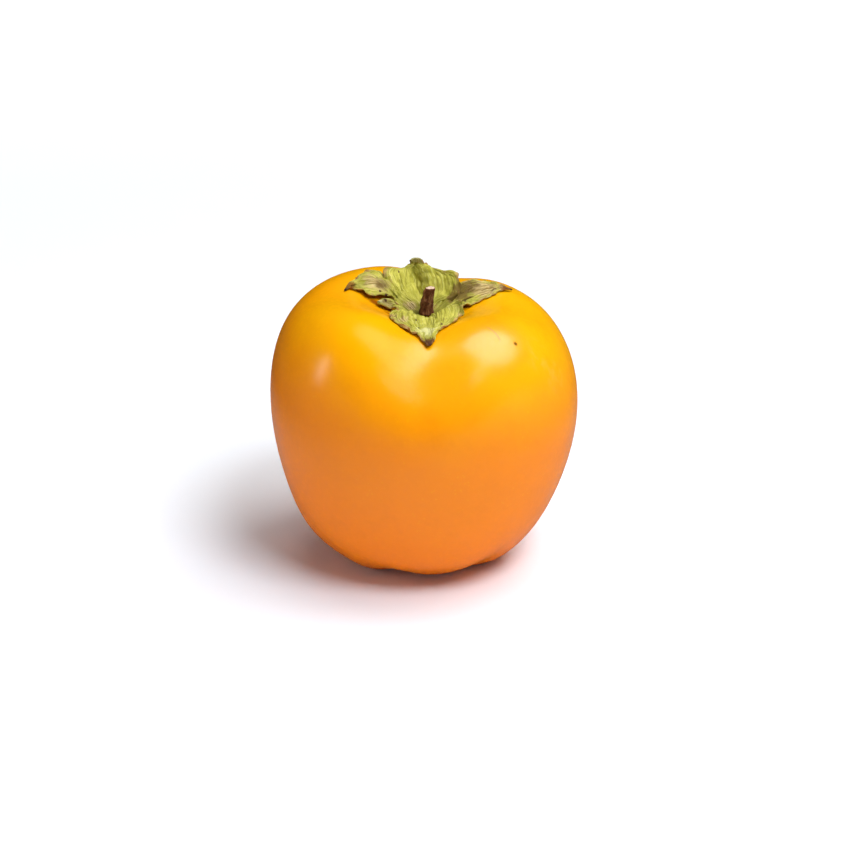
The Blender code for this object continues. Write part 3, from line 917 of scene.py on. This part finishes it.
class PERSIMMON_OT_stalk(bpy.types.Operator):
    """Extrude the stalk upwards from its foot, and knot and roughen it"""

    bl_idname = "persimmon.stalk"
    bl_label = "Stalk"
    bl_options = {"REGISTER", "UNDO"}

    def execute(self, context):
        settings = context.scene.persimmon_stalk
        low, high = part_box("stem")
        self.foot = low.z - STALK_ROOT * MM
        self.height = high.z - self.foot
        start_piece()
        bpy.ops.mesh.primitive_circle_add(
            vertices=STALK_SIDES, radius=STALK[0][-1] * MM, fill_type="NGON", location=self.middle(0)
        )
        stalk = name_piece("stalk_bark")
        bpy.ops.object.transform_apply(location=True, rotation=False, scale=False)
        start_edit()
        self.extrude_stations(stalk)
        self.cut_top(stalk)
        self.knot(stalk)
        bpy.ops.mesh.select_all(action="SELECT")
        bpy.ops.mesh.normals_make_consistent(inside=False)
        bpy.ops.object.mode_set(mode="OBJECT")
        stalk.data.materials.append(bark_material(settings))
        stalk.data.materials.append(cut_material(settings))
        subdivide(stalk, 3)
        relief = {"texture": clouds("bark_relief", 0.9 * MM, 3), "texture_coords": "LOCAL"}
        apply_modifier(stalk, "relief", "DISPLACE", strength=settings.relief, **relief)
        bpy.ops.object.shade_smooth()
        finish_piece(stalk, "root", "stalk_bark", "stem")
        return {"FINISHED"}

    def middle(self, share):
        """The stalk's middle line at a share of its height."""
        for (x0, y0, low, _), (x1, y1, high, _) in zip(STALK, STALK[1:]):
            if share <= high:
                part = (share - low) / (high - low)
                break
        place = Vector((x0 + (x1 - x0) * part, y0 + (y1 - y0) * part, 0)) * MM
        place.z = self.foot + self.height * share
        return place

    def extrude_stations(self, stalk):
        bpy.ops.mesh.select_all(action="SELECT")
        for (_, _, low, before), (_, _, high, radius) in zip(STALK, STALK[1:]):
            step = self.middle(high) - self.middle(low)
            bpy.ops.mesh.extrude_region_move(TRANSFORM_OT_translate={"value": step})
            grow = radius / before
            bpy.ops.transform.resize(value=(grow, grow, 1), center_override=self.middle(high))

    def cut_top(self, stalk):
        """The saw's face: a slight bevel, then a sunken pith."""
        for number, (width, rise) in enumerate(CUT_INSETS):
            bpy.ops.mesh.inset(thickness=width * MM, depth=rise * MM)
            if number == 0:
                self.mark_cut(stalk)
        middle = self.middle(STALK[-1][2])
        bpy.ops.transform.rotate(value=CUT_SLOPE, orient_axis="Y", center_override=middle)

    def mark_cut(self, stalk):
        mesh = bmesh.from_edit_mesh(stalk.data)
        for face in mesh.faces:
            face.material_index = int(face.select)
        bmesh.update_edit_mesh(stalk.data)

    def knot(self, stalk):
        for azimuth, share, out, reach in NODULES:
            spot = self.middle(share) + direction(azimuth) * NODULE_RADIUS * MM
            mesh = bmesh.from_edit_mesh(stalk.data)
            nearest = min(mesh.verts, key=lambda vert: (vert.co - spot).length)
            move(stalk, [nearest], direction(azimuth) * out * MM, reach * MM)


class PERSIMMON_OT_style(bpy.types.Operator):
    """Give the dry tip of the style, in the dimple under the fruit, its finish"""

    bl_idname = "persimmon.style"
    bl_label = "Style"
    bl_options = {"REGISTER", "UNDO"}

    def execute(self, context):
        material = style_material()
        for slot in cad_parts["style_tip"].material_slots:
            slot.material = material
        return {"FINISHED"}


class PERSIMMON_OT_stage(bpy.types.Operator):
    """Lay the pale floor, and place the lamps and the camera"""

    bl_idname = "persimmon.stage"
    bl_label = "Stage"
    bl_options = {"REGISTER", "UNDO"}

    def execute(self, context):
        settings = context.scene.persimmon_stage
        self.lay_floor(settings)
        for name, (place, target, power, share, width, height, turn) in LAMPS.items():
            lamp = self.add_lamp(name, place, target, turn)
            lamp.data.energy = getattr(settings, power) * share
            lamp.data.size = width
            lamp.data.size_y = height
            lamp.visible_glossy = name in SEEN_IN_WAX
            if name in SKY_COLOURED:
                lamp.data.color = SKY
        bpy.data.objects["sheen_lamp"].visible_diffuse = False
        self.add_camera(context.scene)
        self.light_room(context.scene, settings.room)
        context.scene.view_settings.view_transform = "Standard"
        return {"FINISHED"}

    def lay_floor(self, settings):
        start_piece()
        bpy.ops.mesh.primitive_plane_add(size=FLOOR_SIZE)
        floor = name_piece("floor")
        floor.data.materials.append(floor_material(settings))

    def add_lamp(self, name, place, target, turn):
        start_piece()
        bpy.ops.object.light_add(type="AREA", location=place)
        lamp = name_piece(name)
        aim = Vector(target) - Vector(place)
        facing = aim.to_track_quat("-Z", "Y") @ Quaternion((0, 0, 1), math.radians(turn))
        lamp.rotation_euler = facing.to_euler()
        lamp.data.shape = "ELLIPSE"
        return lamp

    def add_camera(self, scene):
        start_piece()
        tilt = math.radians(VIEW_ELEVATION)
        back = Vector((0, -math.cos(tilt), math.sin(tilt)))
        bpy.ops.object.camera_add(location=AIM + back * VIEW_DISTANCE, rotation=(math.pi / 2 - tilt, 0, 0))
        camera = name_piece("camera")
        camera.data.lens = VIEW_LENS
        camera.data.clip_start = 0.05
        camera.data.clip_end = 50
        scene.camera = camera

    def light_room(self, scene, strength):
        """An even pale room that the floor runs into, too dim to show in the wax."""
        scene.world = bpy.data.worlds.new("room")
        scene.world.cycles_visibility.glossy = False
        room = RoomShader(scene.world)
        seen = room.node("ShaderNodeLightPath", out="Is Camera Ray")
        room.set("Color", room.mix(seen, [strength * part for part in SKY], WHITE))
        room.set("Strength", 1.0)


# --- The finishes ----------------------------------------------------------------------------------------
# The colours that aren't settings.
FLECK = (1.0, 0.62, 0.0)
CLOUD = (0.72, 0.17, 0.0)
CALYX_SHADOW_COLOUR = (0.2, 0.03, 0.0)
CHAFE = (1.0, 0.5, 0.2)
SCRATCHED = (0.22, 0.19, 0.05)
SPECK = (0.09, 0.03, 0.003)
PALE_RIB_HIGHLIGHT = (0.70, 0.64, 0.20)
FURROW_SHADE = (0.22, 0.19, 0.02)
SHADE_IN_CUP = (0.17, 0.145, 0.012)
FOLD_SHADE_COLOUR = (0.15, 0.13, 0.01)
PALE_PATCH_COLOUR = (0.80, 0.74, 0.36)
DRY_RIB = (0.64, 0.45, 0.22)
SINGED = (0.30, 0.12, 0.02)
RIM_STRAW = (0.68, 0.52, 0.28)
RIM_BROWN = (0.22, 0.075, 0.02)
WORN_BARK = (0.36, 0.22, 0.11)
BARK_PIT = (0.03, 0.009, 0.006)
PALE_WOOD = (0.78, 0.58, 0.42)
OUTER_WOOD = (0.42, 0.20, 0.10)
PITH = (0.40, 0.22, 0.12)
STYLE_DARK = (0.02, 0.012, 0.008)
STYLE_PALE = (0.10, 0.055, 0.03)
FLOOR_GREY = (0.8, 0.8, 0.8)
MIRRORED_NEAR = (0.24, 0.24, 0.25)
MIRRORED_FAR = (0.01, 0.01, 0.01)


def skin_material(settings):
    """Smooth waxy skin, yellower at the crown, with faint flecks and a few blemishes, painted yellower on the
    lamp's side and painted darker under the calyx's edge and round the main highlight.
    """
    skin = Shader("persimmon_skin")
    place = skin.at()
    to_right, _, height = skin.split(place)
    blotches = skin.noise(place, 38, 3)
    # The level also rises towards +X, where the key lamp falls: painted light that makes the lit side
    # yellower.
    level = height / 0.07 + to_right * 3.2 + (blotches - 0.5) * 0.22
    colour = skin.mix(level.step(0.05, 0.62), settings.base, settings.cheek)
    colour = skin.mix(level.step(0.57, 1.13), colour, settings.crown)
    flecks = skin.node("ShaderNodeTexVoronoi", {}, Vector=place, Scale=760)
    pale = (1 - flecks.step(0.05, 0.32)) * skin.noise(place, 90, 2).step(0.45, 0.7)
    colour = skin.mix(pale * 0.13, colour, FLECK)
    cloud = skin.noise(place, 160, 4, 0.6)
    colour = skin.mix((0.5 - cloud).step(0.0, 0.3) * 0.18, colour, CLOUD)
    # Painted shadow under the calyx's edge.
    for mark in CALYX_SHADOWS:
        colour = skin.mix(skin.near(place, mark) * 0.85, colour, CALYX_SHADOW_COLOUR)
    for mark in CHAFES:
        chafed = skin.near(place, mark) * skin.noise(place, 300, 2).step(0.4, 0.65)
        colour = skin.mix(chafed * 0.12, colour, CHAFE)
    from_ring = abs(skin.distance(place, SCRATCH_CENTRE) / MM - SCRATCH_RADIUS)
    scratch = (1 - from_ring.step(0.1, 0.36)) * skin.near(place, SCRATCH)
    # Painted shade round the main highlight, damping the key lamp.
    colour = skin.mix(skin.near(place, HIGHLIGHT_SHADE) * 0.42, colour, settings.cheek)
    colour = skin.mix(scratch * 0.5, colour, SCRATCHED)
    specks = [skin.near(place, mark) for mark in SPECKS]
    for speck in specks:
        colour = skin.mix(speck * 0.9, colour, SPECK)
    skin.set("Base Color", colour)
    skin.set("Roughness", 0.45 + (cloud - 0.5) * 0.2)
    skin.set("Specular IOR Level", 0.0)
    dull = skin.near(place, DULL)
    worn = skin.noise(place, 900, 3, 0.6).step(0.42, 0.7)
    wax = (1 - dull * 0.78) * (1 - worn * 0.28) * (1 - scratch * 0.3) * (1 - specks[0])
    skin.set("Coat Weight", wax)
    skin.set("Coat Roughness", settings.roughness)
    waves = skin.bump(skin.noise(place, 70, 2), 0.6 * MM, 0.6)
    pores = skin.noise(place, 1100, 3)
    skin.set("Normal", skin.bump(pores, 0.12 * MM, 0.6, waves))
    return skin.material


def leaf_materials(settings):
    """The calyx's upper face, its underside and its thin rim."""
    upper = leaf_material("calyx_upper", settings, 0.0)
    under = leaf_material("calyx_under", settings, 0.45)
    return upper, under, rim_material(settings)


def leaf_material(name, settings, faded):
    """Dry ribbed tissue, green where it is fresher, with tan and brown running along the veins."""
    leaf = Shader(name)
    place = leaf.at()
    across, along, _ = leaf.split(leaf.node("ShaderNodeUVMap", {"uv_map": "leaf"}))
    side = abs(across * 2 - 1)
    warp = (leaf.noise(place, 200, 2) - 0.5) * 0.05
    drift = (leaf.noise(place, 800, 2) - 0.5) * 0.025
    lane = across + warp + drift
    broad = leaf.noise(leaf.vector(lane * 12, along * 2, 0), 1.0, 2, 0.5)
    ribs = leaf.noise(leaf.vector(lane * 44, along * 3, 3), 1.0, 2, 0.6)
    hairs = leaf.noise(leaf.vector(lane * 85, along * 8, 7), 1.0, 3, 0.65)
    mottle = leaf.noise(place, 450, 4, 0.65)
    grain = hairs * 0.55 + mottle * 0.45
    colour = leaf.mix((broad * 0.4 + mottle * 0.6).step(0.36, 0.64), settings.green, settings.straw)
    # Partly painted highlight and shade: the rib tops are paler and the furrows darker along the same noise
    # that the bump raises, over the veins' own tone.
    colour = leaf.mix((ribs - 0.5).step(0.0, 0.2) * 0.5, colour, PALE_RIB_HIGHLIGHT)
    colour = leaf.mix((0.5 - ribs).step(0.0, 0.18) * 0.6, colour, FURROW_SHADE)
    # Painted shade: the leaf darkens towards the stalk, down in the cup.
    cup_shade = 1 - along.step(0.05, 0.42)
    colour = leaf.mix(cup_shade * 0.6, colour, SHADE_IN_CUP)
    tan, brown, dark = leaf.painted("stain")
    pale, rust, fold_shade = leaf.painted("bloom")
    # Painted shade in the folds, the creases and the bowl round the stalk.
    colour = leaf.mix(fold_shade * (0.6 + ribs * 0.6), colour, FOLD_SHADE_COLOUR)
    colour = leaf.mix(patch(pale, grain) * 0.75, colour, PALE_PATCH_COLOUR)
    dried = leaf.mix(ribs.step(0.38, 0.62), [part * 0.66 for part in settings.tan], DRY_RIB)
    colour = leaf.mix(patch(tan + faded, grain) * 0.8, colour, dried)
    edge = side.step(0.72, 1.0) * along.step(RIM_SHARE, RIM_SHARE + 0.12)
    colour = leaf.mix(patch(edge * 0.55, mottle) * 0.8, colour, settings.tan)
    colour = leaf.mix(patch(side.step(0.86, 1.0) * 0.5, grain) * 0.8, colour, SINGED)
    colour = leaf.mix(patch(brown, ribs * 0.6 + mottle * 0.4) * 0.85, colour, settings.brown)
    colour = leaf.mix(patch(rust, grain) * 0.85, colour, settings.rust)
    colour = leaf.mix(patch(dark, hairs * 0.6 + ribs * 0.4), colour, settings.dark)
    dots = leaf.node("ShaderNodeTexVoronoi", {}, Vector=place, Scale=380)
    rare = leaf.noise(place, 520, 1).step(0.6, 0.63)
    colour = leaf.mix((1 - dots.step(0.14, 0.22)) * rare * 0.9, colour, settings.dark)
    leaf.set("Base Color", colour)
    leaf.set("Roughness", 0.66 + (mottle - 0.5) * 0.3)
    leaf.set("Specular IOR Level", 0.1)
    relief = leaf.bump(ribs, 0.5 * MM, 0.9)
    leaf.set("Normal", leaf.bump(hairs * 0.6 + mottle * 0.4, 0.2 * MM, 0.9, relief))
    return leaf.material


def patch(amount, grain):
    """A patch that breaks up along its grain where it thins out, and is nowhere where the amount is 0."""
    return (amount * 1.6 + (grain - 0.5) * 4.5 - 0.6).step(0.0, 0.7) * amount.step(0.0, 0.25)


def rim_material(settings):
    rim = Shader("calyx_rim")
    place = rim.at()
    grain = rim.noise(place, 500, 3)
    colour = rim.mix(grain.step(0.4, 0.65), settings.tan, RIM_STRAW)
    colour = rim.mix(rim.noise(place, 160, 2).step(0.5, 0.62), colour, RIM_BROWN)
    rim.set("Base Color", colour)
    rim.set("Roughness", 0.7)
    rim.set("Specular IOR Level", 0.1)
    rim.set("Normal", rim.bump(grain, 0.1 * MM, 0.8))
    return rim.material


def bark_material(settings):
    bark = Shader("stalk_bark")
    place = bark.at()
    x, y, z = bark.split(place)
    fibre = bark.noise(bark.vector(x * 1500, y * 1500, z * 350), 1.0, 4, 0.65)
    lumps = bark.noise(place, 900, 3, 0.6)
    colour = bark.mix(fibre.step(0.42, 0.68), settings.bark, settings.ridge)
    colour = bark.mix(lumps.step(0.6, 0.75) * 0.6, colour, WORN_BARK)
    colour = bark.mix((0.42 - lumps).step(0.0, 0.1) * 0.7, colour, BARK_PIT)
    bark.set("Base Color", colour)
    bark.set("Roughness", 0.72 + (fibre - 0.5) * 0.3)
    bark.set("Specular IOR Level", 0.12)
    bark.set("Normal", bark.bump(fibre + lumps * 0.6, 0.25 * MM, 1.0))
    return bark.material


def cut_material(settings):
    """The sawn end: pale wood in rings round a darker pith."""
    cut = Shader("stalk_cut")
    place = cut.at()
    grain = cut.noise(place, 1800, 4, 0.6)
    pith = (*STALK[-1][:2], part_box("stem")[1].z / MM)
    from_pith = cut.distance(place, pith) / MM
    colour = cut.mix(grain.step(0.35, 0.65), settings.cut, PALE_WOOD)
    colour = cut.mix((from_pith + (grain - 0.5)).step(0.7, 1.3) * 0.7, colour, OUTER_WOOD)
    colour = cut.mix((1 - from_pith.step(0.15, 0.4)) * 0.6, colour, PITH)
    cut.set("Base Color", colour)
    cut.set("Roughness", 0.8)
    cut.set("Normal", cut.bump(grain, 0.1 * MM, 0.8))
    return cut.material


def style_material():
    tip = Shader("dry_style")
    grain = tip.noise(tip.at(), 1400, 4, 0.6)
    tip.set("Base Color", tip.mix(grain.step(0.35, 0.7), STYLE_DARK, STYLE_PALE))
    tip.set("Roughness", 0.75 + (grain - 0.5) * 0.3)
    tip.set("Normal", tip.bump(grain, 0.2 * MM, 1.0))
    return tip.material


def floor_material(settings):
    """A pale matt floor that runs into the room, dimmer in reflections so that it doesn't veil the wax."""
    floor = Shader("pale_floor")
    place = floor.at()
    colour = floor.mix(floor.noise(place, 30, 2) * 0.04, settings.floor, FLOOR_GREY)
    ray = floor.node("ShaderNodeLightPath", out="Is Glossy Ray")
    reach = floor.vector_math("LENGTH", place)
    mirrored = floor.mix(reach.step(0.09, 0.18), MIRRORED_NEAR, MIRRORED_FAR)
    floor.set("Base Color", floor.mix(ray, colour, mirrored))
    seen = floor.node("ShaderNodeLightPath", out="Is Camera Ray") * reach.step(0.25, 0.9)
    floor.set("Emission Color", floor.mix(seen, BLACK, WHITE))
    floor.set("Emission Strength", 1.0)
    floor.set("Roughness", 0.6)
    floor.set("Specular IOR Level", 0.1)
    return floor.material


# --- The add-on ------------------------------------------------------------------------------------------
class PERSIMMON_PT_sidebar(bpy.types.Panel):
    """Lists the pieces and their settings"""

    bl_idname = "PERSIMMON_PT_sidebar"
    bl_label = "Persimmon"
    bl_space_type = "VIEW_3D"
    bl_region_type = "UI"
    bl_category = "Persimmon"

    def draw(self, context):
        for operator, group in PIECES.items():
            box = self.layout.box()
            box.operator(operator.bl_idname)
            if group:
                for setting in group.__annotations__:
                    box.prop(getattr(context.scene, settings_name(operator)), setting)


PIECES = {
    PERSIMMON_OT_fruit: FruitSettings,
    PERSIMMON_OT_calyx: CalyxSettings,
    PERSIMMON_OT_stalk: StalkSettings,
    PERSIMMON_OT_style: None,
    PERSIMMON_OT_stage: StageSettings,
}


def settings_name(operator):
    """The scene holds an operator's settings under its name."""
    return operator.bl_idname.replace(".", "_")


def register():
    for operator, group in PIECES.items():
        bpy.utils.register_class(operator)
        if group:
            bpy.utils.register_class(group)
            setattr(bpy.types.Scene, settings_name(operator), PointerProperty(type=group))
    bpy.utils.register_class(PERSIMMON_PT_sidebar)


def unregister():
    bpy.utils.unregister_class(PERSIMMON_PT_sidebar)
    for operator, group in PIECES.items():
        bpy.utils.unregister_class(operator)
        if group:
            delattr(bpy.types.Scene, settings_name(operator))
            bpy.utils.unregister_class(group)


def main():
    register()
    bpy.ops.persimmon.fruit()
    bpy.ops.persimmon.calyx()
    bpy.ops.persimmon.stalk()
    bpy.ops.persimmon.style()
    bpy.ops.persimmon.stage()


if __name__ == "__main__":
    main()
